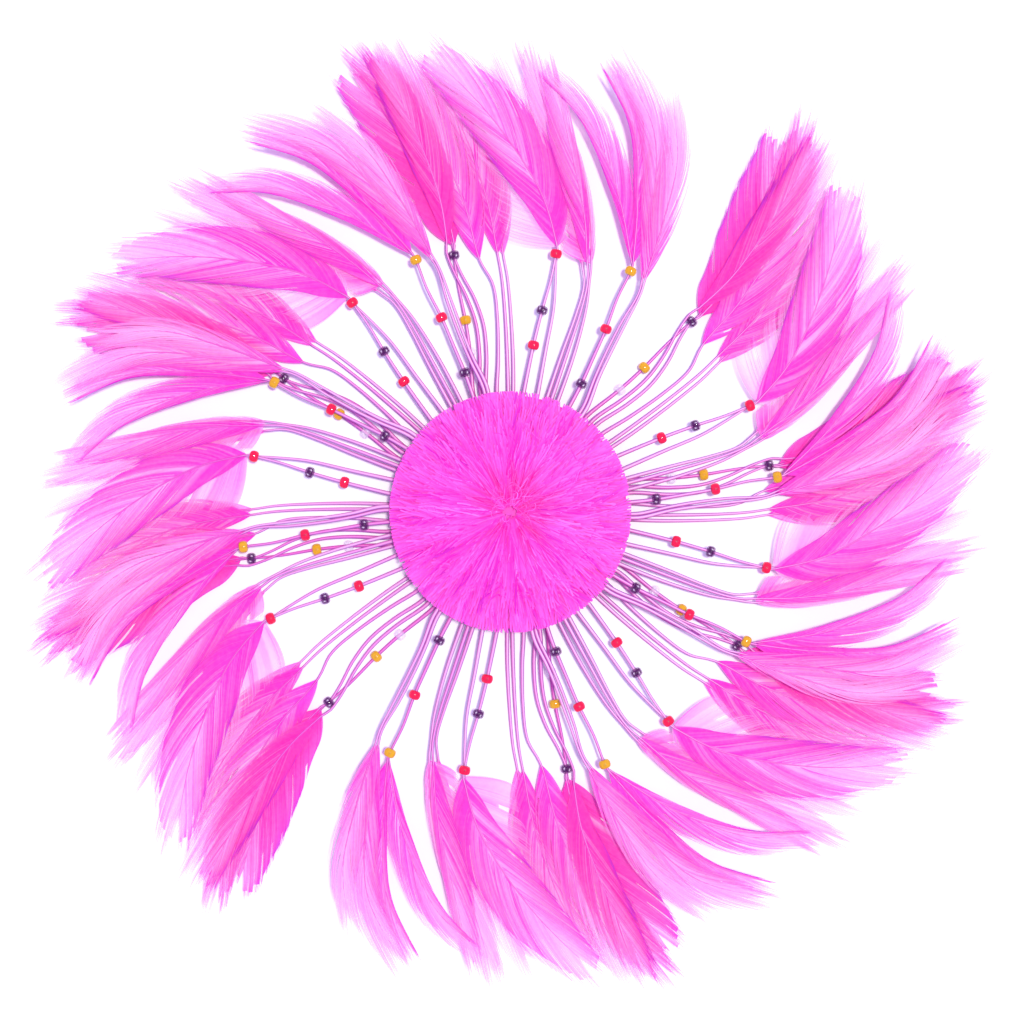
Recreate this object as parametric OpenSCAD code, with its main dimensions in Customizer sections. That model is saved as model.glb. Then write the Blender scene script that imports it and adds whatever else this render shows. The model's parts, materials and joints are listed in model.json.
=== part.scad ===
// Beaded feather pinwheel, a round costume and millinery trim.
// Eight alike sprays of stripped hackle feathers are fixed between a felt backing and a
// trimmed feather pad. Glass seed beads are strung on the bare stems. It lies on its felt
// back, with +Z up, and the origin is at the centre of that back.

/* [Feather pad] */
// Diameter of the trimmed feather pad
pad_d = 65; // [60:1:66]
// Small feathers in the pad's widest tier
pad_feathers = 24; // [16:1:30]
// Diameter of the craft-foam disc that the pad's feathers are glued to
foam_d = 48; // [40:1:50]
// Thickness of the foam disc
foam_t = 2; // [1.5:0.5:3]

/* [Backing] */
// Diameter of the felt backing
felt_d = 54; // [50:1:56]
// Thickness of the felt
felt_t = 0.8; // [0.6:0.1:1]
// Thickness of the buckram disc on the felt
buckram_t = 0.35; // [0.2:0.05:0.4]

/* [Feathers] */
// Width of a stripped stem where it leaves the pad
stem_w = 1.2; // [0.8:0.1:1.2]
// Width of a stem where its vane starts
stem_tip_w = 0.6; // [0.4:0.1:0.7]
// Thickness of stems and vanes
feather_t = 0.3; // [0.2:0.05:0.3]
// How much wider or narrower the vanes are made
vane_width = 1; // [0.8:0.05:1.1]

/* [Beads] */
// Outer diameter of a seed bead
bead_d = 3.2; // [2.8:0.1:3.2]
// Length of a seed bead along its hole
bead_l = 2.4; // [1.8:0.1:2.4]
// Diameter of the hole
bead_hole = 1.3; // [1.2:0.05:1.4]

/* [Hidden] */
$fn = 48;
spray_count = 8;
// Directions of four sprays from +X. The other four stand opposite them.
half_angles = [80.2, 24.2, -12, -52.7];
half_count = len(half_angles);

// Heights, from the felt's back upwards. Each feather of a spray has a layer of its own,
// because feathers cross over each other; a spray's left, middle and right bundles are
// three blocks of layers, and a sheet of glue lies between the blocks at the pad.
layer_pitch = 0.35;
lower_z = 1.35;
middle_z = 4.05;
upper_z = 6.15;
glue_gap = 0.05;

// Each stem is held up to root_end from the centre, and is free from free_start outwards.
root_start = 6;
root_end = 24;
free_start = 26;
stem_steps = 3;
vane_steps = 4;

// Knots of each feather's centre line in its spray, from the pad's rim to the tip. The
// spray's middle bead string runs along +Y. One entry holds: bundle (0 left, 1 middle,
// 2 right), layer, knots, which knot the vane starts at, and the vane's half widths.
BUNDLE = 0;
LAYER = 1;
KNOTS = 2;
VANE_AT = 3;
HALF_LEFT = 4;
HALF_RIGHT = 5;

left_string = [[-15.4, 30.2], [-18.1, 40.8], [-20.8, 49.1], [-24.3, 58], [-26.9, 65.9]];
middle_string = [[-1.9, 32.4], [-1.5, 45.4], [-0.8, 55.1], [0.1, 63.5], [0.3, 70.7]];
right_string = [[11.3, 31.9], [13, 37.3], [15.1, 45.4], [17, 52.9], [18.6, 61.6], [20.9, 69.4]];

feathers = [
    [0, 0, [[-4.7, 31.9], [-6.2, 40.5], [-8.6, 51.3], [-11.3, 61.6], [-14, 69.1],
            [-18.4, 82.4], [-25.7, 97.2], [-34.6, 111.2]], 4, 5, 6],
    [0, 1, [[-6.1, 31.9], [-7.8, 40.5], [-10.2, 51.3], [-12.9, 61.6], [-15.6, 69.1],
            [-21.3, 83.7], [-31.9, 102.1], [-44.6, 116.6]], 4, 5.5, 5.5],
    [0, 2, concat(left_string, [[-28.1, 69.4], [-36.5, 84.2], [-51.3, 99.4], [-64.8, 110.2]]),
           5, 7, 7],
    [0, 3, [[-12.2, 31.9], [-13.5, 40.5], [-15.7, 48.6], [-19.4, 55.4], [-23.8, 61],
            [-26.9, 65.9], [-27.5, 69.4], [-35.1, 85.9], [-48.6, 104], [-66.4, 117.7]], 6, 5.5, 5.5],
    [0, 4, [[-9.2, 31.9], [-10.3, 40.5], [-12.4, 51.3], [-15.1, 59.9], [-20.3, 66.7],
            [-27, 81], [-40.5, 101.3], [-55.9, 119.3]], 4, 6.5, 5.5],
    [0, 5, [[-13.8, 31.6], [-15.4, 40.5], [-17.8, 48.6], [-21.6, 55.4], [-26.2, 61.6],
            [-29.1, 66.6], [-29.6, 70], [-34.6, 83.2], [-46.4, 102.1], [-59.9, 118.8]], 6, 5.5, 5.5],
    [1, 0, [[4.6, 32.4], [6.5, 44.6], [8.4, 55.4], [9.2, 63.5], [7.6, 69.7],
            [3.2, 85.1], [-8.1, 106.7], [-18.4, 127.5]], 4, 5.5, 5.5],
    [1, 1, [[7.6, 32.1], [9.7, 44.6], [10.8, 56.7], [10.5, 64.8], [10, 70.7],
            [7.6, 82.4], [2.2, 95.9], [-4.9, 108.5]], 4, 5.5, 4.5],
    [1, 2, concat(middle_string, [[0, 73.4], [-7.6, 87.8], [-24.8, 105.3], [-46.4, 120.2]]),
           5, 8, 6.5],
    [1, 3, [[1.9, 32.4], [2, 44.6], [2.2, 55.4], [1.4, 63.5], [0.3, 70.7],
            [-0.3, 73.4], [-5.9, 89.1], [-17.6, 108], [-29.2, 123]], 5, 6, 5.5],
    [1, 4, [[5.9, 32.4], [7.8, 44.6], [9.5, 56.2], [10, 64.3], [8.9, 70.2],
            [5.4, 84.2], [-3.2, 105.3], [-11.6, 124.5]], 4, 5.5, 5],
    [2, 0, concat(right_string, [[20.5, 72.4], [13.5, 90.5], [2.2, 108], [-12.2, 118.3]]),
           6, 5.5, 6.5],
    [2, 1, concat(right_string, [[21.1, 72.4], [19.4, 89.1], [14.9, 108], [3.2, 123.7]]),
           6, 5.5, 6.5],
    [2, 2, [[14.6, 31.4], [16.2, 39.2], [18, 46.4], [20.8, 55.4], [23.8, 63.1],
            [24.3, 68.2], [24.2, 85.1], [20.3, 108], [6, 126.5]], 5, 4, 6.5],
    [2, 3, [[15.6, 31.1], [17.2, 39.2], [19.2, 46.4], [22, 55.4], [24.4, 63.1],
            [25.2, 68.4], [27.3, 83.7], [28.1, 101.3], [23, 119.3]], 5, 4.5, 5.5],
];

// Beads, as the string's knots, which knot the bead sits at, and the two layers it holds
red_beads = [[middle_string, 1, 1], [middle_string, 4, 1], [right_string, 3, 2]];
black_beads = [[left_string, 4, 0], [middle_string, 2, 1], [right_string, 1, 2]];
yellow_beads = [[left_string, 2, 0], [right_string, 5, 2]];
clear_beads = [[left_string, 1, 0]];

hub_nodes = ["backing_felt", "buckram_disc", "lower_stem_roots", "glue_lower",
             "middle_stem_roots", "glue_upper", "upper_stem_roots", "pad_foam_disc",
             "pad_feathers_outer", "pad_feathers_middle", "pad_feathers_inner", "pad_centre_tuft"];
spray_parts = ["stems", "vanes", "red_beads", "black_beads", "yellow_beads", "clear_bead"];
function spray_node(i, part) = str("spray_", i + 1, "_", part);

function block_z(bundle) = [lower_z, middle_z, upper_z][bundle];
function feather_z(f) = block_z(f[BUNDLE]) + f[LAYER] * layer_pitch;
// A bead's centre lies between the two layers of its string's bundle that run through it.
function bead_z(bundle) = block_z(bundle) + [2.5, 2.5, 0.5][bundle] * layer_pitch;
function spray_angle(i) = half_angles[i % half_count] + (i < half_count ? 0 : 180) - 90;
function count_in(bundle) = len([for (f = feathers) if (f[BUNDLE] == bundle) f]);
function block_top(bundle) = block_z(bundle) + (count_in(bundle) - 1) * layer_pitch + feather_t / 2;
function block_bottom(bundle) = block_z(bundle) - feather_t / 2;

// A smooth line through knots (Catmull-Rom), with a number of steps between two knots
function blend_knots(a, b, c, d, t) =
    0.5 * (2 * b + (c - a) * t + (2 * a - 5 * b + 4 * c - d) * t * t + (3 * b - a - 3 * c + d) * t * t * t);
function between(p, i, t) =
    blend_knots(p[max(i - 1, 0)], p[i], p[i + 1], p[min(i + 2, len(p) - 1)], t);
function smooth_line(p, first, last, steps) =
    concat([for (i = [first:last - 1], k = [0:steps - 1]) between(p, i, k / steps)], [p[last]]);
function at_height(p, y) = p * y / p[1];
function left_of(p, j) =
    let (d = p[min(j + 1, len(p) - 1)] - p[max(j - 1, 0)]) [-d[1], d[0]] / norm(d);
function knot_angle(p, i) =
    let (d = p[min(i + 1, len(p) - 1)] - p[max(i - 1, 0)]) atan2(d[1], d[0]);

// A flat strip along a line, with its own half width to the left and right at each point
module strip(line, left, right) {
    last = len(line) - 1;
    polygon(concat(
        [for (j = [0:last]) line[j] + left_of(line, j) * left[j]],
        [for (j = [last:-1:0]) line[j] - left_of(line, j) * right[j]]));
}

module sheet(z, thickness) {
    translate([0, 0, z]) linear_extrude(thickness) children();
}

// The bare stem from just outside its held root to the vane, narrowing outwards
module stem(f) {
    knots = f[KNOTS];
    line = concat([at_height(knots[0], free_start)], smooth_line(knots, 0, f[VANE_AT], stem_steps));
    last = len(line) - 1;
    half = [for (j = [0:last]) (stem_w + (stem_tip_w - stem_w) * j / last) / 2];
    sheet(feather_z(f) - feather_t / 2, feather_t) strip(line, half, half);
}

// How wide a vane is at t from 0 at its base to 1 at its blunt tip, as a share of its widest
function vane_shape(t) = sin(180 * pow(t, 0.75) * 0.92) * 0.9 + 0.1;
module vane(f) {
    knots = f[KNOTS];
    line = smooth_line(knots, f[VANE_AT], len(knots) - 1, vane_steps);
    last = len(line) - 1;
    function halves(widest) = [for (j = [0:last])
        max(stem_tip_w / 2, j == 0 ? 0 : widest * vane_width * vane_shape(j / last))];
    sheet(feather_z(f) - feather_t / 2, feather_t)
        strip(line, halves(f[HALF_LEFT]), halves(f[HALF_RIGHT]));
}

// The held end of a stem, running in towards the centre
module stem_root(f) {
    rim = f[KNOTS][0];
    inner = rim / norm(rim) * root_start;
    sheet(feather_z(f) - feather_t / 2, feather_t)
        strip([inner, at_height(rim, root_end)], [stem_w / 2, stem_w / 2], [stem_w / 2, stem_w / 2]);
}

module stem_roots(bundle) {
    color("#f6d3f2")
    for (i = [0:spray_count - 1]) rotate(spray_angle(i))
        for (f = feathers) if (f[BUNDLE] == bundle) stem_root(f);
}

// A seed bead with its hole along X: a ball cut flat at both ends
module bead() {
    difference() {
        intersection() {
            sphere(d = bead_d);
            cube([bead_l, 2 * bead_d, 2 * bead_d], center = true);
        }
        rotate([0, 90, 0]) cylinder(d = bead_hole, h = 2 * bead_l, center = true);
    }
}

module strung(beads) {
    for (b = beads) {
        place = b[0][b[1]];
        translate([place[0], place[1], bead_z(b[2])]) rotate(knot_angle(b[0], b[1])) bead();
    }
}

module stems() { color("#f6d3f2") for (f = feathers) stem(f); }
module vanes() { color("#ff5be0") for (f = feathers) vane(f); }
module red() { color("#e8112d") strung(red_beads); }
module black() { color("#3a1230") strung(black_beads); }
module yellow() { color("#f2b705") strung(yellow_beads); }
module clear() { color("#f4f1fa", 0.5) strung(clear_beads); }

module spray(i) {
    rotate(spray_angle(i)) {
        stems();
        vanes();
        red();
        black();
        yellow();
        clear();
    }
}

module backing_felt() { color("#f08fdc") cylinder(d = felt_d, h = felt_t); }
module buckram_disc() {
    color("#f7eef5") translate([0, 0, felt_t]) cylinder(d = felt_d - 2, h = buckram_t);
}

// A sheet of hot glue that fills the space between two blocks of stems
module glue(below) {
    bottom = block_top(below) + glue_gap;
    color("#efe6c8") translate([0, 0, bottom])
        cylinder(d = 2 * root_end - 2, h = block_bottom(below + 1) - glue_gap - bottom);
}

foam_z = block_top(2) + glue_gap;
pad_z = foam_z + foam_t + glue_gap;
tier_t = 0.45;
module pad_foam_disc() {
    color("#ff8fe0") translate([0, 0, foam_z]) cylinder(d = foam_d, h = foam_t);
}

// One small pad feather as a flat blade along +X, widening to a round trimmed end
module pad_blade(from, to, count) {
    gap = 0.15;
    half_turn = 180 / count;
    intersection() {
        circle(r = to);
        polygon([[from, -from * tan(half_turn) + gap], [from, from * tan(half_turn) - gap],
                 [to * 1.02, to * 1.02 * tan(half_turn) - gap],
                 [to * 1.02, -to * 1.02 * tan(half_turn) + gap]]);
    }
}
module pad_tier(level, from, to, count) {
    color("#ff4fdc") sheet(pad_z + level * (tier_t + glue_gap), tier_t)
        for (i = [0:count - 1]) rotate((i + level / 2) * 360 / count) pad_blade(from, to, count);
}
module pad_feathers_outer() { pad_tier(0, 10, pad_d / 2, pad_feathers); }
module pad_feathers_middle() { pad_tier(1, 7, pad_d / 2 - 4, pad_feathers - 4); }
module pad_feathers_inner() { pad_tier(2, 4, pad_d / 2 - 10, pad_feathers - 8); }

// The curled tips at the pad's centre, as a low dome
tuft_r = 8;
tuft_h = 2.2;
module pad_centre_tuft() {
    ball = (tuft_r * tuft_r + tuft_h * tuft_h) / (2 * tuft_h);
    color("#ff3fd0") translate([0, 0, pad_z + 3 * (tier_t + glue_gap)]) intersection() {
        translate([0, 0, tuft_h - ball]) sphere(r = ball);
        cylinder(r = 2 * tuft_r, h = 2 * tuft_h);
    }
}

backing_felt();
buckram_disc();
stem_roots(0);  // lower_stem_roots
glue(0);  // glue_lower
stem_roots(1);  // middle_stem_roots
glue(1);  // glue_upper
stem_roots(2);  // upper_stem_roots
pad_foam_disc();
pad_feathers_outer();
pad_feathers_middle();
pad_feathers_inner();
pad_centre_tuft();
for (i = [0:spray_count - 1]) spray(i);
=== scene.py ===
"""A beaded feather pinwheel: eight sprays of stripped feathers round a trimmed feather pad.

Every feather is made the same way. A line runs along its shaft, and each barb is a narrow
ribbon given in the shaft's own coordinates: how far along the shaft, and how far to the side.
"""

# %% [markdown]
# # A beaded feather pinwheel
# The real piece is a flat round trim. Eight bundles of stripped hackle feathers are glued
# between a felt disc and a pad of small feathers. The solid model already fixes every size
# and place, so it is loaded first, and everything else is worked out from it.

# %% Load the frame
import json
import math

import bpy
import numpy as np
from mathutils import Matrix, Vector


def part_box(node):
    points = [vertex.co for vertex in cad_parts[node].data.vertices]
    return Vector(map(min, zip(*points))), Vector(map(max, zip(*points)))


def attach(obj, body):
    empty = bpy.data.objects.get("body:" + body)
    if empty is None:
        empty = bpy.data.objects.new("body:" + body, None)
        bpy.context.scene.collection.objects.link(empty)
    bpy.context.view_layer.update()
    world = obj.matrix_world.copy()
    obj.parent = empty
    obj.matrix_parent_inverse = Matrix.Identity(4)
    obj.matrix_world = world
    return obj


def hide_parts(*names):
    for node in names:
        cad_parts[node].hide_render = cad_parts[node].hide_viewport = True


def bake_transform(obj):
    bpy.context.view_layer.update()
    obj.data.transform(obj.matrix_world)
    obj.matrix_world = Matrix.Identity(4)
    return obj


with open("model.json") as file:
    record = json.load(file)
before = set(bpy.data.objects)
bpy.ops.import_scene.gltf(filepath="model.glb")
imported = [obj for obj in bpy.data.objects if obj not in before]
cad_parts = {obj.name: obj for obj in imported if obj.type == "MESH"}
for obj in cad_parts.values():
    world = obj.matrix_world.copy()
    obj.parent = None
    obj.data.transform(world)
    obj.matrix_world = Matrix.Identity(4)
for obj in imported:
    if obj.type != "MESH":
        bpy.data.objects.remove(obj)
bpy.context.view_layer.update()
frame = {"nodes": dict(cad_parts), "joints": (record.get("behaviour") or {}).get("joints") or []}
MM = 0.001
rng = np.random.default_rng(8)
scene = bpy.context.scene
scene.view_settings.view_transform = "Standard"

# %% [markdown]
# ## Camera, floor and light
# The piece lies flat and is seen from straight above through a long lens. Sunlight comes
# from almost straight above, a little from the right. The sky light is violet, so it tints
# the shadows that the sun leaves on the white floor.

# %% Camera, floor and light
LENS = 100
FIELD = 276.5 * MM
AIM_X = 0.46 * MM
camera = bpy.data.objects.new("camera", bpy.data.cameras.new("camera"))
camera.data.lens = LENS
camera.location = (AIM_X, 0, FIELD * LENS / camera.data.sensor_width + 4 * MM)
scene.collection.objects.link(camera)
scene.camera = camera

SUN_FROM = (0.14, 0.05, 1.0)
sun = bpy.data.objects.new("sun", bpy.data.lights.new("sun", "SUN"))
sun.data.energy = 2.5
sun.data.angle = math.radians(6)
sun.data.color = (1.0, 0.99, 0.86)
sun.location = SUN_FROM
sun.rotation_euler = (-Vector(SUN_FROM)).to_track_quat("-Z", "Y").to_euler()
scene.collection.objects.link(sun)

world = bpy.data.worlds.new("sky")
world.use_nodes = True
sky = world.node_tree.nodes["Background"]
sky.inputs["Color"].default_value = (0.62, 0.51, 1.0, 1)
sky.inputs["Strength"].default_value = 1.0
scene.world = world
print("camera height (m):", round(camera.location.z, 3))

# %% [markdown]
# ## Finishes
# A finish is a material made of nodes. The small class below lets shader maths be written
# as ordinary sums: every + or * on a wire adds one Math node.

# %% Shader helpers
class Wire:
    """An output socket, on which +, -, * and ** add Math nodes."""

    def __init__(self, finish, socket):
        self.finish = finish
        self.socket = socket

    def math(self, operation, a, b):
        return self.finish.node("ShaderNodeMath", {"operation": operation}, {0: a, 1: b})

    def __add__(self, other):
        return self.math("ADD", self, other)

    def __sub__(self, other):
        return self.math("SUBTRACT", self, other)

    def __rsub__(self, other):
        return self.math("SUBTRACT", other, self)

    def __mul__(self, other):
        return self.math("MULTIPLY", self, other)

    def __pow__(self, other):
        return self.math("POWER", self, other)

    __radd__ = __add__
    __rmul__ = __mul__


class Finish:
    """A procedural material, built node by node."""

    def __init__(self, name):
        self.material = bpy.data.materials.new(name)
        self.material.use_nodes = True
        self.tree = self.material.node_tree
        self.tree.nodes.clear()

    def node(self, kind, settings=None, sockets=None, out=0):
        """Adds a node: its settings first, then the value or the wire of each socket."""
        made = self.tree.nodes.new(kind)
        for key, value in (settings or {}).items():
            setattr(made, key, value)
        for key, value in (sockets or {}).items():
            if isinstance(value, Wire):
                self.tree.links.new(value.socket, made.inputs[key])
            elif isinstance(value, tuple) and len(value) == 3 and made.inputs[key].type == "RGBA":
                made.inputs[key].default_value = (*value, 1)
            else:
                made.inputs[key].default_value = value
        return Wire(self, made.outputs[out])

    def attribute(self, name):
        return self.node("ShaderNodeAttribute", {"attribute_name": name}, out="Fac")

    def mix(self, factor, a, b):
        """A colour that goes from a to b as the factor goes from 0 to 1."""
        return self.node("ShaderNodeMix", {"data_type": "RGBA"}, {0: factor, 6: a, 7: b}, out=2)

    def place(self, scale=(1, 1, 1)):
        where = self.node("ShaderNodeTexCoord", out="Object")
        return self.node("ShaderNodeMapping", sockets={"Vector": where, "Scale": scale})

    def noise(self, scale, detail=3.0, stretch=(1, 1, 1)):
        return self.node("ShaderNodeTexNoise", sockets={
            "Vector": self.place(stretch), "Scale": scale, "Detail": detail})

    def bump(self, height, strength, distance):
        return self.node("ShaderNodeBump", sockets={
            "Height": height, "Strength": strength, "Distance": distance})

    def surface(self, sockets, through=None, share=0.0):
        """Ends the material: a Principled surface, with a share of light let through it."""
        shader = self.node("ShaderNodeBsdfPrincipled", sockets=sockets)
        if through is not None:
            glow = self.node("ShaderNodeBsdfTranslucent", sockets={"Color": through})
            shader = self.node("ShaderNodeMixShader", sockets={0: share, 1: shader, 2: glow})
        self.node_link_output(shader)
        return self.material

    def node_link_output(self, shader):
        output = self.tree.nodes.new("ShaderNodeOutputMaterial")
        self.tree.links.new(shader.socket, output.inputs["Surface"])


# %% [markdown]
# A dyed feather lets light through: one vane over white paper looks pale, and three vanes
# over each other look dense. So a vane's web is partly see-through, and the layers do the
# rest. Each barb carries two attributes, "shade", its own depth of dye, and "along", 0 at
# the shaft and 1 at its tip. Both deepen or thin the colour and the cover. Above 1, shade
# turns the colour violet: painted shadow along neat vane edges, and painted shade in the
# pad's creases.

# %% Feather finishes
def feather_finish(name, dense, pale, through, share, cover=(1.0, 1.0)):
    """Dye colour from pale to dense as shade goes up to 1, and on to violet as it goes to 2:
    painted shadow along neat vane edges, where barb ends also crowd, and painted shade in the
    pad's creases. Cover falls along a barb between two values.
    The share of light let through, 0.25 to 1 of the given one, grows with the dye."""
    finish = Finish(name)
    shade = finish.attribute("shade")
    along = finish.attribute("along")
    grain = finish.noise(900, 2.0)
    depth = shade * (1 - 0.5 * along ** 2.0) + (grain - 0.5) * 0.25
    colour = finish.mix(depth, pale, dense)
    # Violet as shade passes 1 is painted shadow along neat vane edges, with the crowd of barb ends
    # there, and painted shade in the pad's creases.
    sockets = {"Base Color": finish.mix(shade - 1, colour, (0.42, 0.02, 0.62)),
               "Roughness": 0.5, "Specular IOR Level": 0.25}
    if cover[0] < 1:
        near, far = cover
        sockets["Alpha"] = (near - (near - far) * along) + (shade - 0.6) * 0.35
    return finish.surface(sockets, through, (0.25 + 0.75 * depth) * share)


PINK, PINK_PALE, PINK_LIT = (1.0, 0.032, 0.60), (1.0, 0.52, 0.84), (1.0, 0.10, 0.74)
CORAL, CORAL_PALE, CORAL_LIT = (1.0, 0.030, 0.50), (1.0, 0.42, 0.82), (1.0, 0.10, 0.66)
WEB = feather_finish("vane_web", PINK, PINK_PALE, PINK_LIT, 0.35, (0.88, 0.22))
WARM_WEB = feather_finish("warm_vane_web", CORAL, CORAL_PALE, CORAL_LIT, 0.35, (0.88, 0.40))
BARB = feather_finish("vane_barb", PINK, PINK_PALE, PINK_LIT, 0.35, (0.90, 0.55))
WARM_BARB = feather_finish("warm_vane_barb", CORAL, CORAL_PALE, CORAL_LIT, 0.35, (0.92, 0.60))
PAD = feather_finish("pad_feather", (1.0, 0.012, 0.52), (1.0, 0.165, 0.76), (1.0, 0.035, 0.64), 0.2)
TUFT = feather_finish("tuft_feather", (0.92, 0.010, 0.40), (1.0, 0.18, 0.78), (1.0, 0.05, 0.6), 0.2)


def stem_finish():
    """A stripped shaft: a pale horny middle between a violet left edge, which is painted shadow,
    and a crimson right edge.
    "across" is -1 at the left edge and 1 at the right."""
    finish = Finish("stripped_stem")
    across = finish.attribute("across")
    shade = finish.attribute("shade")
    # The violet left edge is painted shadow, on the same side of every stem.
    left = (0.5 - across * 0.5) ** 3.2
    right = (0.5 + across * 0.5) ** 3.2
    middle = finish.mix(shade, (0.95, 0.55, 0.87), (0.86, 0.09, 0.56))
    colour = finish.mix(left, middle, (0.27, 0.02, 0.38))
    colour = finish.mix(right, colour, (0.48, 0.01, 0.28))
    ripple = finish.bump(finish.noise(1500, 2.0), 0.15, 0.0001)
    return finish.surface(
        {"Base Color": colour, "Roughness": 0.3, "Normal": ripple}, (0.95, 0.6, 0.92), 0.15)


STEM = stem_finish()
print("feather finishes: 6, and one for stems")

# %% [markdown]
# The beads are pressed glass. The coloured ones let a little light through, and the dark
# ones are clear glass over a dark square lining.

# %% Bead finishes
def bead_finish(name, colour, shaded_hole_colour, cover=1.0, coat=1.0):
    """Glossy glass whose colour is deeper over its hole: painted shade of the hole, seen through
    the glass. Cover below 1 is clear glass, and shows what is inside it, and has a painted
    highlight on each side of its hole. Coat is how strongly its surface shines."""
    finish = Finish(name)
    inside = finish.attribute("inside")
    cloud = finish.noise(1800, 1.0)
    # Over the hole the colour turns to the painted shade of the hole.
    tone = finish.mix(inside + (cloud - 0.5) * 0.3, colour, shaded_hole_colour)
    clear = {}
    if cover < 1:
        # Painted highlight: two white, more opaque spots beside the hole.
        fleck = finish.attribute("fleck")
        clear = {"Alpha": cover * (1 - 0.3 * inside) + fleck * 0.7}
        tone = finish.mix(fleck, tone, (1.0, 0.95, 1.0))
    return finish.surface({
        **clear, "Base Color": tone, "Roughness": 0.4, "Specular IOR Level": 0.1,
        "Coat Weight": coat, "Coat Roughness": 0.06})


RED = bead_finish("red_glass", (0.90, 0.0, 0.05), (0.30, 0.0, 0.04))
YELLOW = bead_finish("yellow_glass", (0.76, 0.41, 0.0), (0.46, 0.15, 0.0))
CLEAR = bead_finish("clear_glass", (0.97, 0.93, 0.98), (0.9, 0.80, 0.93), 0.28)
SMOKE = bead_finish("dark_glass", (0.20, 0.03, 0.21), (0.04, 0.0, 0.05), 0.42)
LINING = bead_finish("dark_lining", (0.03, 0.0, 0.04), (0.02, 0.0, 0.02), 1.0, 0.0)
print("bead finishes: 5")

# %% [markdown]
# The layers under the pad are craft materials: pressed felt, stiff open-weave buckram, foam
# and hot glue.

# %% Craft finishes
def felt_finish():
    """Pressed wool: short fibres in every direction, as two crossed stretched noises."""
    finish = Finish("felt")
    fibres = finish.noise(700, 4.0, (1, 5, 1)) * 0.5 + finish.noise(700, 4.0, (5, 1, 1)) * 0.5
    colour = finish.mix(fibres, (0.55, 0.07, 0.36), (0.93, 0.30, 0.72))
    return finish.surface({"Base Color": colour, "Roughness": 0.95, "Sheen Weight": 0.4,
                           "Normal": finish.bump(fibres, 0.8, 0.0004)})


def buckram_finish():
    """Stiffened gauze: threads along X and Y, as two wave textures."""
    finish = Finish("buckram")
    place = finish.place()
    wave = {"wave_type": "BANDS", "bands_direction": "X"}
    threads_x = finish.node("ShaderNodeTexWave", wave, {"Vector": place, "Scale": 350}, out="Fac")
    wave = {"wave_type": "BANDS", "bands_direction": "Y"}
    threads_y = finish.node("ShaderNodeTexWave", wave, {"Vector": place, "Scale": 350}, out="Fac")
    weave = threads_x * threads_y
    colour = finish.mix(weave, (0.85, 0.78, 0.82), (0.95, 0.90, 0.94))
    return finish.surface({"Base Color": colour, "Roughness": 0.9,
                           "Normal": finish.bump(weave, 0.7, 0.0002)})


def plain_finish(name, light, dark, roughness, scale):
    """A moulded material: mottled a little between two colours, with a fine bump."""
    finish = Finish(name)
    mottle = finish.noise(scale, 4.0)
    return finish.surface({"Base Color": finish.mix(mottle, light, dark), "Roughness": roughness,
                           "Normal": finish.bump(mottle, 0.4, 0.0003)})


FELT = felt_finish()
BUCKRAM = buckram_finish()
FOAM = plain_finish("craft_foam", (0.95, 0.20, 0.68), (0.85, 0.12, 0.55), 0.85, 1500)
GLUE = plain_finish("hot_glue", (0.82, 0.76, 0.58), (0.70, 0.62, 0.42), 0.25, 200)
FLOOR = plain_finish("white_paper", (0.93, 0.93, 0.93), (0.91, 0.91, 0.91), 0.9, 30)
print("craft finishes: 5")

# %% [markdown]
# ## Lines and ribbons
# A feather's shaft is a smooth line through a few knots. A point beside it is given by the
# distance along the line and the distance to its left. Barbs drawn in these coordinates
# follow every bend of the shaft and never cross each other.

# %% Lines
class Line:
    """A smooth line through knots (Catmull-Rom), that runs on straight past its ends."""

    def __init__(self, knots, steps=24):
        p = np.asarray(knots, float)
        padded = np.vstack([2 * p[0] - p[1], p, 2 * p[-1] - p[-2]])
        t = np.linspace(0, 1, steps, endpoint=False)[None, :, None]
        a, b, c, d = (padded[i:len(p) - 1 + i, None, :] for i in range(4))
        smooth = 0.5 * (2 * b + (c - a) * t + (2 * a - 5 * b + 4 * c - d) * t ** 2
                        + (3 * b - a - 3 * c + d) * t ** 3)
        self.points = np.vstack([smooth.reshape(-1, p.shape[1]), p[-1:]])
        step = np.linalg.norm(np.diff(self.points, axis=0), axis=1)
        self.distance = np.concatenate([[0], np.cumsum(step)])
        self.length = self.distance[-1]
        self.knot_distance = self.distance[::steps]
        direction = np.gradient(self.points, self.distance, axis=0)
        self.direction = direction / np.linalg.norm(direction, axis=1, keepdims=True)

    def at(self, d):
        """Position and direction at distance d, for an array of distances of any shape."""
        inside = np.clip(d, 0, self.length)
        point = np.stack([np.interp(inside, self.distance, c) for c in self.points.T], -1)
        way = np.stack([np.interp(inside, self.distance, c) for c in self.direction.T], -1)
        return point + way * (d - inside)[..., None], way

    def beside(self, d, left):
        """The flat point at distance d along the line and this far to its left."""
        point, way = self.at(d)
        return point + np.stack([-way[..., 1], way[..., 0]], -1) * left[..., None]


def ease(t):
    """0 below 0, 1 above 1, and a smooth S between them."""
    t = np.clip(t, 0, 1)
    return t * t * (3 - 2 * t)


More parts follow.
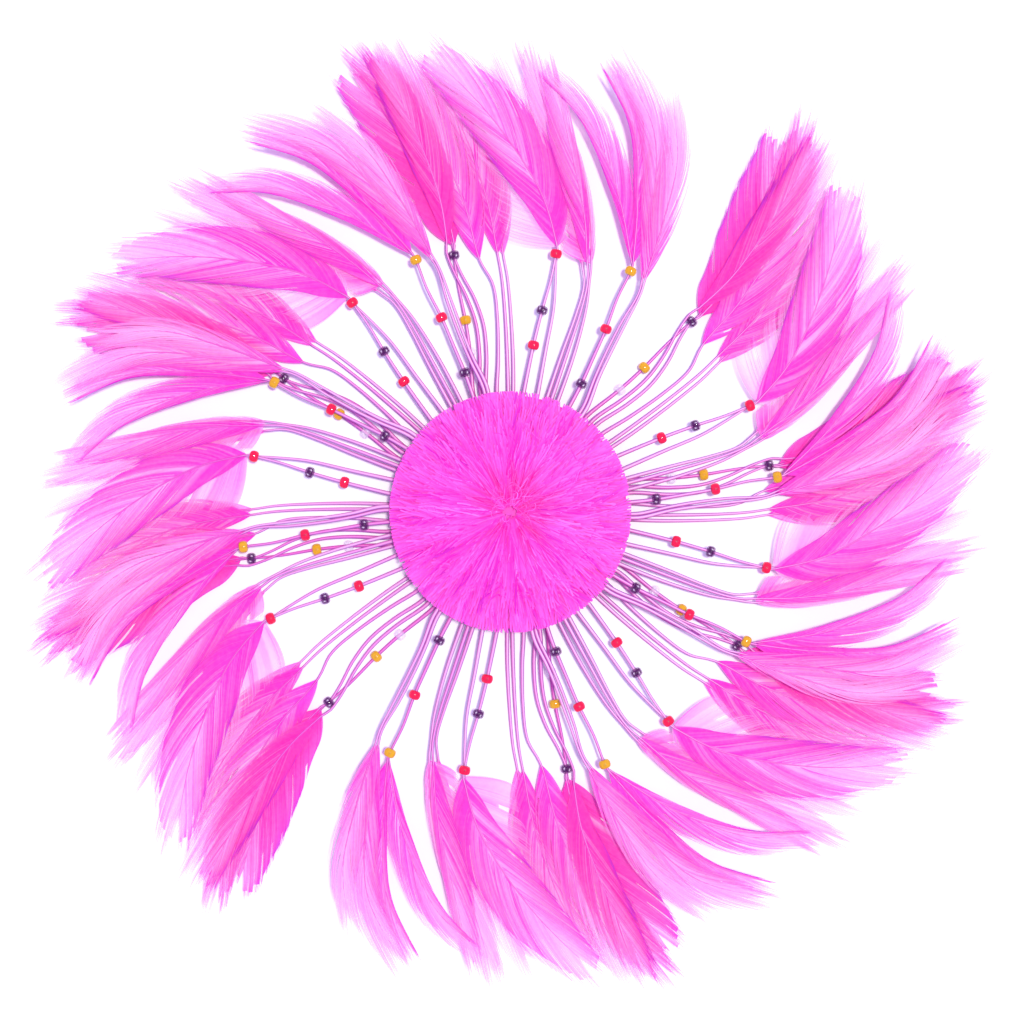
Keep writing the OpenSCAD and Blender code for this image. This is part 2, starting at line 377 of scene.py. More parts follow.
# %% Meshes
def ribbons(centre, half_width, roll):
    """Flat ribbons along rows of points. A row's points step sideways by the half width,
    square to the row and level, then rolled about it by the angle roll."""
    way = np.gradient(centre, axis=1)
    side = np.stack([-way[..., 1], way[..., 0], np.zeros(way.shape[:2])], -1)
    side /= np.maximum(np.linalg.norm(side, axis=-1, keepdims=True), 1e-9)
    side = side * np.cos(roll)[..., None]
    side[..., 2] += np.sin(roll)
    side *= half_width[..., None]
    points = np.stack([centre - side, centre + side], 2)
    rows, steps = centre.shape[:2]
    first = (np.arange(rows)[:, None] * steps + np.arange(steps - 1)[None, :]) * 2
    faces = np.stack([first, first + 2, first + 3, first + 1], -1)
    return points.reshape(-1, 3), faces.reshape(-1, 4)


def tubes(centre, half_width, half_height, sides=8):
    """Closed oval tubes along rows of points, and how far across the tube each of their
    points is: -1 at its left edge, 1 at its right."""
    way = np.gradient(centre, axis=1)
    side = np.stack([-way[..., 1], way[..., 0], np.zeros(way.shape[:2])], -1)
    side /= np.linalg.norm(side, axis=-1, keepdims=True)
    angle = np.arange(sides) * 2 * np.pi / sides
    out = side[:, :, None, :] * (half_width[..., None] * np.cos(angle))[..., None]
    out[..., 2] += half_height[..., None] * np.sin(angle)
    points = centre[:, :, None, :] + out
    rows, steps = centre.shape[:2]
    ring = np.arange(sides)
    start = (np.arange(rows)[:, None, None] * steps + np.arange(steps - 1)[None, :, None]) * sides
    a, b = start + ring, start + (ring + 1) % sides
    walls = np.stack([a, a + sides, b + sides, b], -1).reshape(-1, 4)
    base = np.arange(rows)[:, None] * steps * sides
    caps = np.concatenate([base + ring, base + (steps - 1) * sides + ring[::-1]])
    across = np.broadcast_to(-np.cos(angle), (rows, steps, sides))
    return points.reshape(-1, 3), walls, caps, across.reshape(-1)


class Builder:
    """Gathers points, faces, attributes and finishes, and makes one mesh of them."""

    def __init__(self, names):
        self.points, self.loops, self.sizes, self.slots = [], [], [], []
        self.values = {name: [] for name in names}
        self.count = 0

    def add(self, points, faces, slot=0, **values):
        """Adds points with one or more face arrays, each an array of one row a face."""
        for block in faces if isinstance(faces, (list, tuple)) else [faces]:
            self.loops.append((block + self.count).reshape(-1))
            self.sizes.append(np.full(len(block), block.shape[1]))
            self.slots.append(np.full(len(block), slot))
        self.points.append(points)
        for name, kept in self.values.items():
            kept.append(np.broadcast_to(values.get(name, 0.0), len(points)))
        self.count += len(points)

    def piece(self, name, finishes, turn=0.0, smooth=True):
        """Makes the object, in metres, turned about +Z by an angle in degrees."""
        p = np.concatenate(self.points)
        c, s = math.cos(math.radians(turn)), math.sin(math.radians(turn))
        p = p @ np.array([[c, s, 0], [-s, c, 0], [0, 0, 1]]) * MM
        loops, sizes = np.concatenate(self.loops), np.concatenate(self.sizes)
        mesh = bpy.data.meshes.new(name)
        mesh.vertices.add(len(p))
        mesh.vertices.foreach_set("co", p.astype(np.float32).ravel())
        mesh.loops.add(len(loops))
        mesh.loops.foreach_set("vertex_index", loops.astype(np.int32))
        mesh.polygons.add(len(sizes))
        mesh.polygons.foreach_set("loop_start", (np.cumsum(sizes) - sizes).astype(np.int32))
        mesh.polygons.foreach_set("material_index", np.concatenate(self.slots).astype(np.int32))
        mesh.polygons.foreach_set("use_smooth", np.full(len(sizes), smooth))
        for key, kept in self.values.items():
            attribute = mesh.attributes.new(key, "FLOAT", "POINT")
            attribute.data.foreach_set("value", np.concatenate(kept).astype(np.float32))
        for finish in finishes:
            mesh.materials.append(finish)
        mesh.update(calc_edges=True)
        made = bpy.data.objects.new(name, mesh)
        scene.collection.objects.link(made)
        return made


# %% [markdown]
# ## One spray
# A spray is fifteen stripped feathers in three bundles, one above the other: left, middle
# and right. The knots run from the pad's rim to the tip, in millimetres, with the spray's
# middle bead string along +Y. The same knots shape the solids.

# %% Bead strings and feathers
LOWER_Z, MIDDLE_Z, UPPER_Z = 1.35, 4.05, 6.15
PITCH = 0.35
ROOT_R, ROOT_STRAIGHT = 24, 4.5
BLOCK_Z = {"left": LOWER_Z, "middle": MIDDLE_Z, "right": UPPER_Z}
LEFT_STRING = [(-15.4, 30.2), (-18.1, 40.8), (-20.8, 49.1), (-24.3, 58), (-26.9, 65.9)]
MIDDLE_STRING = [(-1.9, 32.4), (-1.5, 45.4), (-0.8, 55.1), (0.1, 63.5), (0.3, 70.7)]
RIGHT_STRING = [(11.3, 31.9), (13, 37.3), (15.1, 45.4), (17, 52.9), (18.6, 61.6), (20.9, 69.4)]


def feather(bundle, layer, knots, vane_at, left, right, shade, finish=0, base=0.35):
    """left and right are (widest reach, forward sweep, looseness) of the barbs on that side.
    base is how full the vane is near its start. The line starts with two more knots, on the
    ray from the middle to the first knot, where the root is held under the pad."""
    ray = np.array(knots[0]) / math.hypot(*knots[0])
    held = [ray * ROOT_R, ray * (ROOT_R + ROOT_STRAIGHT)]
    return {"z": BLOCK_Z[bundle] + layer * PITCH, "line": Line([*held, *knots]),
            "vane_at": vane_at + len(held), "sides": (left, right), "shade": shade,
            "finish": finish, "base": base}


FEATHERS = [
    feather("left", 0, [(-4.7, 31.9), (-6.2, 40.5), (-8.6, 51.3), (-11.3, 61.6), (-14, 69.1),
                        (-18.4, 82.4), (-25.7, 97.2), (-34.6, 111.2)], 4,
            (5, 20, 0.5), (5, 20, 0.5), 0.15),
    feather("left", 1, [(-6.1, 31.9), (-7.8, 40.5), (-10.2, 51.3), (-12.9, 61.6), (-15.6, 69.1),
                        (-21.3, 83.7), (-31.9, 102.1), (-44.6, 116.6)], 4,
            (5, 24, 0.3), (7, 24, 0.7), 0.5),
    feather("left", 2, [*LEFT_STRING, (-28.1, 69.4), (-36.5, 84.2), (-51.3, 99.4),
                        (-64.8, 110.2)], 5,
            (8.5, 22, 0.1), (8, 26, 0.2), 1.05, 1, 0.55),
    feather("left", 3, [(-12.2, 31.9), (-13.5, 40.5), (-15.7, 48.6), (-19.4, 55.4), (-23.8, 61),
                        (-26.9, 65.9), (-27.5, 69.4), (-35.1, 85.9), (-48.6, 104),
                        (-66.4, 117.7)], 6,
            (5, 24, 0.3), (6, 26, 0.6), 0.8, 1),
    feather("left", 4, [(-9.2, 31.9), (-10.3, 40.5), (-12.4, 51.3), (-15.1, 59.9), (-20.3, 66.7),
                        (-27, 81), (-40.5, 101.3), (-55.9, 119.3)], 4,
            (7, 25, 0.2), (7, 26, 0.8), 0.5),
    feather("left", 5, [(-13.8, 31.6), (-15.4, 40.5), (-17.8, 48.6), (-21.6, 55.4), (-26.2, 61.6),
                        (-29.1, 66.6), (-29.6, 70), (-34.6, 83.2), (-46.4, 102.1),
                        (-59.9, 118.8)], 6,
            (5, 24, 0.2), (6, 26, 0.6), 0.8, 1),
    feather("middle", 0, [(4.6, 32.4), (6.5, 44.6), (8.4, 55.4), (9.2, 63.5), (7.6, 69.7),
                          (3.2, 85.1), (-8.1, 106.7), (-18.4, 127.5)], 4,
            (5, 24, 0.3), (3.5, 26, 0.8), 0.3),
    feather("middle", 1, [(7.6, 32.1), (9.7, 44.6), (10.8, 56.7), (10.5, 64.8), (10, 70.7),
                          (7.6, 82.4), (2.2, 95.9), (-4.9, 108.5)], 4,
            (9, 18, 0.4), (1.2, 22, 0.9), -0.15, 0, 0.9),
    feather("middle", 3, [*MIDDLE_STRING, (0, 73.4), (-7.6, 87.8), (-24.8, 105.3),
                          (-46.4, 120.2)], 5,
            (7, 26, 0.15), (9, 28, 0.3), 0.5, 0, 0.45),
    feather("middle", 2, [(1.9, 32.4), (2, 44.6), (2.2, 55.4), (1.4, 63.5), (0.3, 70.7),
                          (-0.3, 73.4), (-5.9, 89.1), (-17.6, 108), (-29.2, 123)], 5,
            (14, 20, 0.25), (5, 26, 0.8), -0.4, 0, 0.95),
    feather("middle", 4, [(5.9, 32.4), (7.8, 44.6), (9.5, 56.2), (10, 64.3), (8.9, 70.2),
                          (5.4, 84.2), (-3.2, 105.3), (-11.6, 124.5)], 4,
            (5, 24, 0.3), (2, 26, 0.9), 0.5),
    feather("right", 0, [*RIGHT_STRING, (20.5, 72.4), (13.5, 90.5), (2.2, 108), (-12.2, 118.3)], 6,
            (2, 22, 0.1), (5.5, 28, 0.5), 0.6),
    feather("right", 1, [*RIGHT_STRING, (21.1, 72.4), (19.4, 89.1), (14.9, 108), (3.2, 123.7)], 6,
            (1.2, 24, 0.1), (7, 30, 0.7), 0.8),
    feather("right", 2, [(14.6, 31.4), (16.2, 39.2), (18, 46.4), (20.8, 55.4), (23.8, 63.1),
                         (24.3, 68.2), (24.2, 85.1), (20.3, 108), (6, 126.5)], 5,
            (4, 26, 0.3), (6, 30, 0.9), 0.35),
    feather("right", 3, [(15.6, 31.1), (17.2, 39.2), (19.2, 46.4), (22, 55.4), (24.4, 63.1),
                         (25.2, 68.4), (27.3, 83.7), (28.1, 101.3), (23, 119.3)], 5,
            (5, 26, 0.5), (3.5, 26, 1.0), 0.15),
]
print("feathers in a spray:", len(FEATHERS))

# %% [markdown]
# ## The vane
# A hackle barb leaves the shaft at a steep angle and soon bends to run nearly along it. At a
# share s of its length, a barb that starts at a share t of the vane has gone forward by its
# sweep times s, and sideways by its reach times 1 - (1 - s) to the power 1.6. Barbs hold
# together in locks: a lock's barbs draw together towards their tips, which opens the gaps
# seen at the vane's edge. Near the shaft the barbs are zipped into a web, so each side of a
# vane is one web surface in these coordinates, with fine loose barbs lying over it. The dye
# is deepest at the vane's start and fades towards its tip, where single layers lie bare.

# %% Barb coordinates
RISE_FROM, RISE_BY, RISE_OVER = 70, 2.5, 60
LAST_START = 0.86
SHADE_AT_START, FADE, LEAST_SHADE = 0.62, 1.6, -0.5
WEB_SINK = 0.04
BARB_HALF = (0.05, 0.11)


def lifted(flat, z):
    """Gives flat points a height: z, and a slight upward curve towards the tips."""
    radius = np.linalg.norm(flat, axis=-1)
    rise = RISE_BY * np.clip((radius - RISE_FROM) / RISE_OVER, 0, 1) ** 2
    return np.concatenate([flat, (z + rise)[..., None]], -1)


def barb_paths(f, sign, side, start, s, locks, jitter):
    """Flat points along barbs that start at the given shares of the vane. locks holds two
    random numbers for each lock, and jitter two for each barb."""
    reach, sweep, loose = side
    line = f["line"]
    base = line.knot_distance[f["vane_at"]] - 1
    span = line.length - base
    lock = np.minimum((start / LAST_START * len(locks)).astype(int), len(locks) - 1)
    centre = (lock + 0.5) / len(locks) * LAST_START
    own = locks[lock]
    t = start[:, None] + (centre - start)[:, None] * (0.15 + 0.4 * loose) * s ** 2
    blunt = 0.55 - 0.4 * f["base"]
    forward = sweep * (blunt + (1 - blunt) * np.clip(t / 0.2, 0, 1))
    forward = forward * (1 + 0.12 * loose * own[:, :1] + 0.04 * jitter[:, :1])
    room = span * (0.96 + 0.02 * own[:, 1:] + 0.012 * jitter[:, 1:] - t)
    gone = np.minimum(forward, room)
    end = t + gone / span
    full = (f["base"] + (1 - f["base"]) * ease(end / 0.45)) * (1 - 0.5 * ease((end - 0.6) / 0.5))
    share = np.clip(gone / forward, 0, 1) ** 1.2
    aside = reach * full * share * (1 + 0.08 * loose * own[:, :1])
    flat = line.beside(base + t * span + gone * s, sign * aside * (1 - (1 - s) ** 1.6))
    return flat, lock


def edge_crowding_and_shadow(f, side, s):
    """How much darker and more violet barbs look along a neat vane's edge: partly where their
    ends crowd, partly painted shadow at that edge. It grows
    as s to the power 5, and is nothing on a loose side or a blunt downy vane."""
    neat = np.clip((0.4 - side[2]) / 0.2, 0, 1) * np.clip((0.95 - f["base"]) / 0.6, 0, 1)
    return 1.6 * neat * s ** 5


# %% Webs and loose barbs
def web(builder, f, sign, side, locks, rows=100, columns=9):
    """The zipped part of one side of a vane, cut open between the locks. Its shade falls in
    a straight line with the barb's start, and a running mean of noise streaks it."""
    zipped = 0.96 - 0.45 * side[2]
    s = np.linspace(0, zipped, columns)[None, :]
    start = np.linspace(0, LAST_START, rows)
    flat, lock = barb_paths(f, sign, side, start, s, locks, np.zeros((rows, 2)))
    first = np.arange(rows - 1)[:, None] * columns + np.arange(columns - 1)[None, :]
    corners = [first, first + columns, first + columns + 1, first + 1]
    faces = np.stack(corners if sign < 0 else corners[::-1], -1)
    opens = rng.uniform(0.45, 0.95, len(locks))[lock[:-1], None] * zipped
    keep = (lock[:-1] == lock[1:])[:, None] | (s[:, 1:] < opens)
    streak = np.convolve(rng.normal(size=rows + 4), np.ones(5) / 5, "valid")
    shade = f["shade"] + SHADE_AT_START - FADE * start
    shade = shade + 0.65 * streak + 0.05 * rng.normal(size=rows)
    # Along a neat edge: painted shadow with the crowd of barb ends, darker and violet.
    shade = np.clip(shade, LEAST_SHADE, 1)[:, None] + edge_crowding_and_shadow(f, side, s / zipped)
    z = np.full(flat.shape[:2], f["z"]) - WEB_SINK * s
    builder.add(lifted(flat, z).reshape(-1, 3), faces[keep], f["finish"], shade=shade.reshape(-1),
                along=np.broadcast_to(s, flat.shape[:2]).reshape(-1))


def loose_barbs(builder, f, sign, side, locks, count, steps=9):
    """Single barbs over the web and past its edge, as narrow ribbons."""
    s = np.linspace(0.05, 1, steps)[None, :]
    start = np.sort(rng.uniform(0, LAST_START, count))
    flat, _ = barb_paths(f, sign, side, start, s, locks, 1.6 * rng.normal(size=(count, 2)))
    z = f["z"] + rng.uniform(0.02, 0.12, (count, 1)) - WEB_SINK * s
    half = rng.uniform(*BARB_HALF, (count, 1)) * (1 - 0.72 * s ** 1.5)
    roll = np.broadcast_to(rng.normal(0, 0.25, (count, 1)), half.shape)
    points, faces = ribbons(lifted(flat, z), half, roll)
    shade = f["shade"] + SHADE_AT_START - FADE * start + 0.2 * rng.normal(size=count)
    shade = np.clip(shade, LEAST_SHADE, 1)
    # Along a neat edge: painted shadow with the crowd of barb ends, darker and violet.
    shade = shade[:, None] + edge_crowding_and_shadow(f, side, s)
    like = (count, steps, 2)
    builder.add(points, faces, f["finish"] + 2,
                shade=np.broadcast_to(shade[..., None], like).reshape(-1),
                along=np.broadcast_to(s[..., None], like).reshape(-1))


def vane(builder, f, count):
    """Both sides of one vane. A looser side has more locks and more loose barbs."""
    for sign, side in zip((1, -1), f["sides"]):
        locks = rng.normal(size=(int(7 + 14 * side[2]), 2))
        web(builder, f, sign, side, locks)
        loose_barbs(builder, f, sign, side, locks, int(count * (0.7 + 0.6 * side[2])))


# %% [markdown]
# ## The shaft
# A stripped shaft is a flattened tube that tapers from the pad to the feather's tip. It is
# one piece with the root under the pad.

# %% Shafts
STEM_W, VANE_W, TIP_W = 1.2, 0.6, 0.1


def shaft(builder, f, steps=64):
    """One oval tube along the line: 1.2 mm wide at the pad, 0.6 mm at the vane, 0.1 mm
    at the tip, and a third as high as it is wide. A deeply dyed feather has a deeper stem,
    and the dye deepens more where the vane starts."""
    line = f["line"]
    base = line.knot_distance[f["vane_at"]]
    stop = base + 0.86 * (line.length - base)
    d = np.linspace(0, stop, steps)[None, :]
    width = np.interp(d, [0, base, stop], [STEM_W, VANE_W, TIP_W])
    centre = lifted(line.at(d)[0], np.full(d.shape, f["z"]))
    points, walls, caps, across = tubes(centre, width / 2, np.clip(width * 0.18, 0.05, 0.18))
    tone = max(f["shade"] - 0.2, 0) * 0.7 + 0.3 * rng.random() + ease((d - base + 2) / 4)
    shade = np.broadcast_to(np.clip(tone, 0, 1)[..., None], (*d.shape, 8)).reshape(-1)
    # Past the vane's start the edge colours, with the painted shadow, fade out.
    fade = np.broadcast_to((1 - 0.8 * ease((d - base) / 4))[..., None], (*d.shape, 8)).reshape(-1)
    builder.add(points, [walls, caps], across=across * fade, shade=shade)


# %% [markdown]
# ## Beads
# A seed bead is a short glass tube with fire-rounded ends. Its profile is carried round the
# hole: a rounded outside, and a straight hole that two shafts run through.

# %% Beads
BEAD_R, BEAD_HALF, HOLE_R = 1.6, 1.2, 0.65
LINING_R = 1.25
PAINTED_GLINT_ASIDE, PAINTED_GLINT_ALONG = 0.72, 0.25
BLOCK_BEAD_LAYER = {"left": 2.5, "middle": 2.5, "right": 0.5}


def lathe(profile, round_steps=28):
    """A closed ring surface: profile points (x along the hole, r from it) carried round X."""
    x, r = np.asarray(profile, float).T
    angle = np.arange(round_steps) * 2 * np.pi / round_steps
    ring = np.stack([np.broadcast_to(x[:, None], (len(x), round_steps)),
                     r[:, None] * np.cos(angle), r[:, None] * np.sin(angle)], -1)
    i = np.arange(len(x))[:, None] * round_steps
    j = (np.arange(len(x))[:, None] + 1) % len(x) * round_steps
    k = np.arange(round_steps)
    n = (k + 1) % round_steps
    return ring.reshape(-1, 3), np.stack([i + k, i + n, j + n, j + k], -1).reshape(-1, 4)


def bead_profile():
    """A rounded outside (a superellipse), then back along the hole."""
    a = np.linspace(0, np.pi, 13)
    outside_x = BEAD_HALF * np.sign(np.cos(a)) * np.abs(np.cos(a)) ** 0.95
    outside_r = HOLE_R + 0.12 + (BEAD_R - HOLE_R - 0.12) * np.sin(a) ** 0.85
    hole_x = np.linspace(-0.92, 0.92, 5) * BEAD_HALF
    return np.concatenate([np.stack([outside_x, outside_r], -1),
                           np.stack([hole_x, np.full(5, HOLE_R)], -1)])


def set_on_string(points, string, knot, bundle):
    """Moves points so that the bead's hole follows the string at that knot."""
    before, after = string[max(knot - 1, 0)], string[min(knot + 1, len(string) - 1)]
    angle = math.atan2(after[1] - before[1], after[0] - before[0])
    c, s = math.cos(angle), math.sin(angle)
    z = BLOCK_Z[bundle] + BLOCK_BEAD_LAYER[bundle] * PITCH
    return points @ np.array([[c, s, 0], [-s, c, 0], [0, 0, 1]]) + [*string[knot], z]


BEADS = {
    "red_beads": [("middle", MIDDLE_STRING, 1), ("middle", MIDDLE_STRING, 4),
                  ("right", RIGHT_STRING, 3)],
    "black_beads": [("left", LEFT_STRING, 4), ("middle", MIDDLE_STRING, 2),
                    ("right", RIGHT_STRING, 1)],
    "yellow_beads": [("left", LEFT_STRING, 2), ("right", RIGHT_STRING, 5)],
    "clear_bead": [("left", LEFT_STRING, 1)],
}
BEAD_FINISH = {"red_beads": [RED], "black_beads": [SMOKE, LINING], "yellow_beads": [YELLOW],
               "clear_bead": [CLEAR]}


def lining_profile():
    """The dark lining inside a clear bead: a thin tube with flat sides."""
    x = 0.6 * BEAD_HALF
    return [(-x, LINING_R), (x, LINING_R), (x, HOLE_R + 0.05), (-x, HOLE_R + 0.05)]


def beads(kind):
    """All beads of one kind in a spray. The inside attribute is 1 at the hole and over it, where it
    paints shade. The painted highlight is 1 at two spots beside the hole, and falls off as a bell
    curve: exp(-(d / width) ** 2)."""
    builder = Builder(["inside", "fleck"])
    points, faces = lathe(bead_profile())
    # Painted shade of the hole: darkest at its wall, and in a band over it.
    depth = 1 - ease((np.linalg.norm(points[:, 1:], axis=1) - HOLE_R) / 0.5)
    depth = np.maximum(depth, 0.6 * np.exp(-(points[:, 1] / 0.42) ** 2 - (points[:, 0] / 0.7) ** 2))
    # Two painted highlights, one on each side of the hole.
    aside = np.abs(points[:, 1]) - PAINTED_GLINT_ASIDE
    along = points[:, 0] * np.sign(points[:, 1]) - PAINTED_GLINT_ALONG
    fleck = np.exp(-(aside / 0.18) ** 2 - (along / 0.26) ** 2)
    for bundle, string, knot in BEADS[kind]:
        builder.add(set_on_string(points, string, knot, bundle), faces[:, ::-1], inside=depth,
                    fleck=fleck)
        if kind == "black_beads":
            inner, inner_faces = lathe(lining_profile(), 4)
            builder.add(set_on_string(inner, string, knot, bundle), inner_faces, slot=1)
    return builder


# %% Eight sprays
BARBS = 95
for number in range(1, 9):
    body = f"spray_{number}"
    joint = next(j for j in frame["joints"] if j["child"] == body)
    hinge = np.array(joint["pos_m"])
    turn = math.degrees(math.atan2(hinge[1], hinge[0])) - 90
    vanes, shafts = Builder(["shade", "along"]), Builder(["shade", "across"])
    for f in FEATHERS:
        vane(vanes, f, BARBS)
        shaft(shafts, f)
    piece = vanes.piece(f"{body}_feather_vanes", [WEB, WARM_WEB, BARB, WARM_BARB], turn)
    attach(piece, body)
    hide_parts(f"{body}_vanes")
    piece = shafts.piece(f"{body}_shafts", [STEM], turn)
    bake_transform(piece)
    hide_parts(f"{body}_stems")
    for kind in BEADS:
        piece = beads(kind).piece(f"{body}_glass_{kind}", BEAD_FINISH[kind], turn)
        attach(piece, body)
        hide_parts(f"{body}_{kind}")
print("sprays: 8, barbs on each side of a feather:", BARBS)

# %% [markdown]
# ## The pad
# The pad is made of small feathers laid like roof tiles, with their tips trimmed to one
# round edge. Each small feather's barbs use the same idea as the vanes: they run outwards
# and spread to both sides, and here they stop where the trimming circle cuts them.

# %% Pad feathers
RIM_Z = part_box("pad_feathers_outer")[1].z / MM
DOME_Z = RIM_Z + 2.2
pad_low, pad_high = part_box("pad_feathers_outer")
PAD_R = max(*pad_high[:2], *(-pad_low)[:2]) / MM
SPREAD = 5.0
CLUMPS_PER_MM = 1.2
PAD_BARB_HALF = 0.2
CREASE_SHADE_W = 0.7


def dome(radius):
    """The pad's height at a radius: level in the middle, lower towards the rim."""
    return DOME_Z - (DOME_Z - RIM_Z) * ease(radius / PAD_R) ** 1.5


def pad_tier(builder, first, last, feathers, count, drop, ragged, steps=8):
    """A ring of small feathers from one radius to another, trimmed at the last. Ragged is how
    far inside it a barb may end. A feather is darker at its two edges, where the cube of the
    spread is large, and along one fold line, which turns violet: painted shade in the creases
    between and across feathers. One barb in twenty is pale."""
    s = np.linspace(0, 1, steps)[None, :]
    for number in range(feathers):
        heading = (number + rng.uniform(-0.35, 0.35)) * 2 * np.pi / feathers
        bend = rng.normal(0, 0.10)
        start = first + rng.uniform(0, 0.72, count) * (last - first)
        sign = rng.choice([-1.0, 1.0], count)
        spread = sign * rng.uniform(0.2, 1.0, count) * SPREAD
        reach = rng.uniform(9, 15, count)
        clump = np.round(spread * CLUMPS_PER_MM) / CLUMPS_PER_MM
        side = (spread + (clump - spread) * 0.6)[:, None] * (1 - (1 - s) ** 1.5)
        cut = last - ragged * rng.uniform(0, 1, count)
        stop = np.minimum(start + reach, np.sqrt(np.maximum(cut ** 2 - side[:, -1] ** 2, 1)))
        stop = np.maximum(stop, start + 1)
        out = start[:, None] + (stop - start)[:, None] * s
        angle = heading + bend * (out / last) ** 2
        flat = np.stack([out * np.cos(angle) - side * np.sin(angle),
                         out * np.sin(angle) + side * np.cos(angle)], -1)
        radius = np.linalg.norm(flat, axis=-1)
        z = dome(radius) - drop + rng.uniform(-0.12, 0.12, (count, 1)) + 0.1 * s
        half = PAD_BARB_HALF * rng.uniform(0.6, 1.4, (count, 1)) * (1 - 0.15 * s)
        roll = np.broadcast_to(rng.normal(0, 0.2, (count, 1)), half.shape)
        points, faces = ribbons(np.concatenate([flat, z[..., None]], -1), half, roll)
        # Painted shade: a dark fold line across each small feather, and darker edges where feathers
        # meet.
        painted_crease_shade = np.exp(-((spread - rng.uniform(-4, 4)) / CREASE_SHADE_W) ** 2)[:, None]
        shade = 0.70 + 0.25 * np.abs(spread[:, None] / SPREAD) ** 3 + 0.07 * rng.normal()
        shade = shade + 0.08 * rng.normal(size=(count, 1)) - 0.6 * (rng.random((count, 1)) < 0.05)
        shade = np.clip(shade + painted_crease_shade * ease(s / 0.4) * 0.8, 0, 1.5)
        wide = np.ones((count, steps, 2))
        builder.add(points, faces, shade=(shade[..., None] * wide).reshape(-1),
                    along=(s[..., None] * wide).reshape(-1))


def disc(radius, low, high, steps=40, around=96):
    """A closed lens: its upper face follows the height high(r), its lower face low(r)."""
    r = np.linspace(0, radius, steps)[1:]
    angle = np.arange(around) * 2 * np.pi / around
    rr = np.concatenate([r, r[::-1]])
    zz = np.concatenate([high(r), low(r[::-1])])
    ring = np.stack([rr[:, None] * np.cos(angle), rr[:, None] * np.sin(angle),
                     np.broadcast_to(zz[:, None], (len(rr), around))], -1).reshape(-1, 3)
    i = np.arange(len(rr) - 1)[:, None] * around
    k = np.arange(around)
    n = (k + 1) % around
    walls = np.stack([i + k, i + around + k, i + around + n, i + n], -1).reshape(-1, 4)
    top = np.stack([np.full(around, len(ring)), k, n], -1)
    last = (len(rr) - 1) * around
    bottom = np.stack([np.full(around, len(ring) + 1), last + n, last + k], -1)
    poles = [[0, 0, high(r[:1])[0]], [0, 0, low(r[:1])[0]]]
    return np.vstack([ring, poles]), [walls, top, bottom]


# Each tier: its piece and node, radii, feathers, barbs in each, how far it lies below the
# dome, and how ragged its trimmed edge is.
TIERS = [("pad_outer_barbs", "pad_feathers_outer", 10, PAD_R, 34, 110, 0.9, 0.4),
         ("pad_middle_barbs", "pad_feathers_middle", 6, PAD_R, 34, 110, 0.45, 0.8),
         ("pad_inner_barbs", "pad_feathers_inner", 1.5, PAD_R - 2, 26, 90, 0.0, 9.0)]
for name, node, first, last, feathers, count, drop, ragged in TIERS:
    builder = Builder(["shade", "along"])
    pad_tier(builder, first, last, feathers, count, drop, ragged)
    if node == "pad_feathers_outer":
        skin, faces = disc(PAD_R - 1.2, lambda r: np.minimum(RIM_Z - 0.4, dome(r) - 1.5),
                           lambda r: dome(r) - 1.2)
        builder.add(skin, faces, shade=0.6)
    piece = builder.piece(name, [PAD])
    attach(piece, "hub")
    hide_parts(node)
print("pad tiers:", len(TIERS))

# %% [markdown]
# ## The centre tuft
# In the middle the shortest barbs curl and cross. Each is a thin ribbon that starts near
# the centre, arches up, and turns as it goes, like a comma.

# %% Centre tuft
TUFT_AT = (2.0, 1.5)


def tuft(builder, count, length, curl, wide, dye, steps=10):
    """Barbs that start near the tuft's own centre, 2.5 mm off the pad's. A barb's heading
    turns by a random amount along its length, so its path is a sum of short steps. Curl
    scales how much it turns and how high it arches: small for flat barbs, 1 for curls."""
    s = np.linspace(0, 1, steps)[None, :]
    start = rng.normal(0, 3.2, (count, 2)) + TUFT_AT
    outward = np.arctan2(start[:, 1:], start[:, :1])
    heading = outward + curl * (rng.normal(0, 0.9, (count, 1)) + rng.normal(0, 1.3, (count, 1)) * s)
    step = length * rng.uniform(0.4, 1.4, (count, 1)) / (steps - 1)
    z = DOME_Z + 0.1 + curl * (0.1 + 0.9 * rng.random((count, 1)) * np.sin(np.pi * s))
    centre = np.stack([start[:, :1] + np.cumsum(np.cos(heading) * step, 1),
                       start[:, 1:] + np.cumsum(np.sin(heading) * step, 1), z], -1)
    half = wide * (1 - 0.7 * s) * rng.uniform(0.7, 1.3, (count, 1))
    roll = np.broadcast_to(rng.normal(0, 0.6, (count, 1)), half.shape)
    points, faces = ribbons(centre, half, roll)
    both = np.ones((count, steps, 2))
    shade = np.clip(rng.normal(dye, 0.25, (count, 1)), 0, 1)
    builder.add(points, faces, shade=(shade[..., None] * both).reshape(-1),
                along=(s[..., None] * both).reshape(-1))


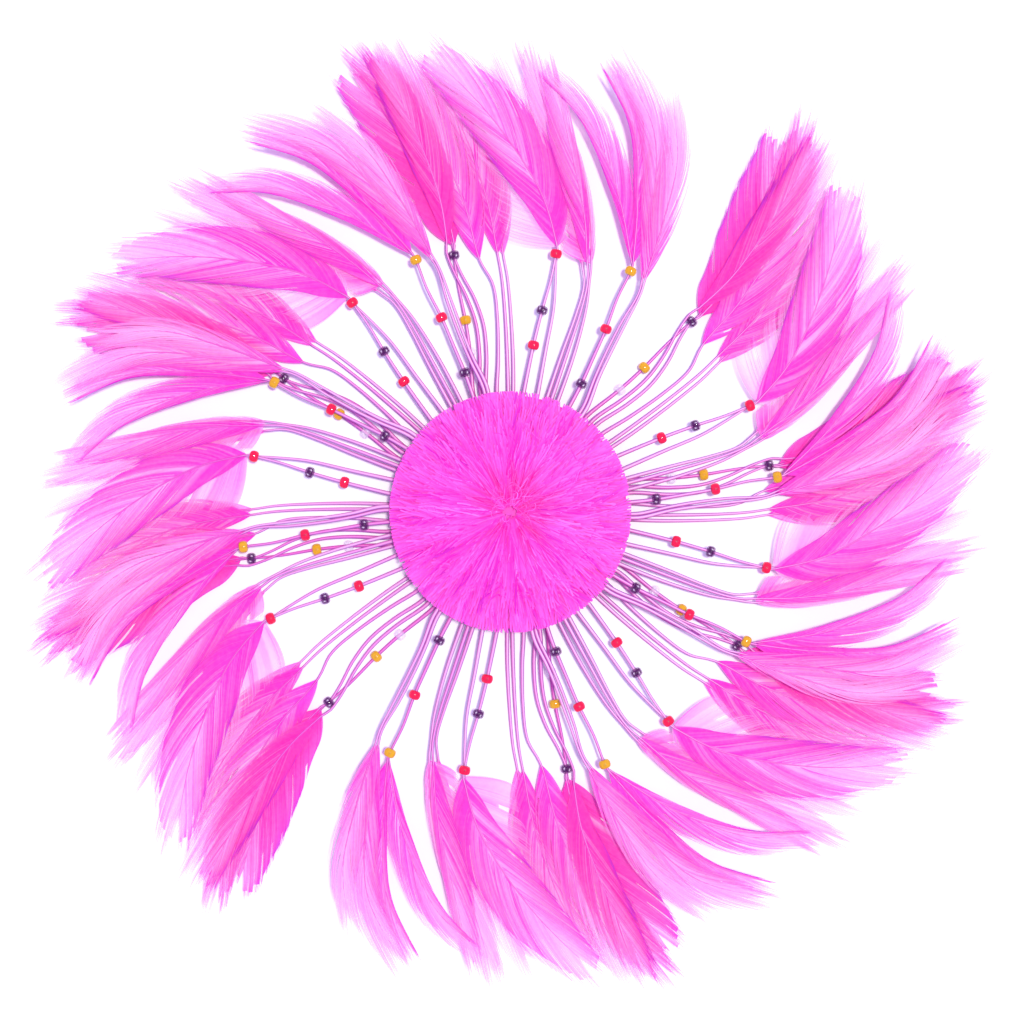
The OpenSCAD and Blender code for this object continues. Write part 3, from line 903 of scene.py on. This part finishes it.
builder = Builder(["shade", "along"])
tuft(builder, 160, 7.0, 0.15, 0.22, 1.0)
tuft(builder, 110, 3.6, 1.0, 0.13, 0.5)
piece = builder.piece("centre_tuft_barbs", [TUFT])
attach(piece, "hub")
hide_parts("pad_centre_tuft")
print("flat crimson barbs: 160, curled barbs: 110")

# %% [markdown]
# ## Backing
# The felt and the buckram are cut discs. Scissors leave the felt's edge a little uneven,
# and pressed felt has soft rounded edges.

# %% Backing discs
def cut_disc(name, node, finish, wobble):
    """A closed disc in the node's own box, with rounded edges and a slightly uneven cut."""
    low, high = (np.array(c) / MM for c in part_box(node))
    radius, thick = high[0], high[2] - low[2]
    corner = np.linspace(0, np.pi / 2, 6)
    r = np.concatenate([np.linspace(0, radius - thick / 2, 12)[1:],
                        radius - thick / 2 + thick / 2 * np.sin(corner[1:])])
    half = np.concatenate([np.full(11, thick / 2), thick / 2 * np.cos(corner[1:])])
    middle = (low[2] + high[2]) / 2
    points, faces = disc(radius, lambda q: middle - np.interp(q, r, half),
                         lambda q: middle + np.interp(q, r, half), steps=60)
    angle = np.arctan2(points[:, 1], points[:, 0])
    cut = 1 - wobble * (1 + np.sin(7 * angle) * np.sin(3 * angle + 1)) / 2
    points[:, :2] *= cut[:, None]
    builder = Builder([])
    builder.add(points, faces)
    piece = builder.piece(name, [finish])
    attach(piece, "hub")
    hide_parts(node)


cut_disc("felt_disc", "backing_felt", FELT, 0.012)
cut_disc("buckram_gauze", "buckram_disc", BUCKRAM, 0.004)
print("backing discs: 2")

# %% Finishes for the solids that stay
KEPT = {"lower_stem_roots": STEM, "middle_stem_roots": STEM, "upper_stem_roots": STEM,
        "glue_lower": GLUE, "glue_upper": GLUE, "pad_foam_disc": FOAM}
for node, finish in KEPT.items():
    materials = frame["nodes"][node].data.materials
    materials.clear()
    materials.append(finish)
print("solids kept:", len(KEPT))

# %% Floor
builder = Builder([])
builder.add(np.array([[-900, -900, 0], [900, -900, 0], [900, 900, 0], [-900, 900, 0.0]]),
            np.array([[0, 1, 2, 3]]))
floor = builder.piece("floor", [FLOOR])
floor.location.z = -0.02 * MM
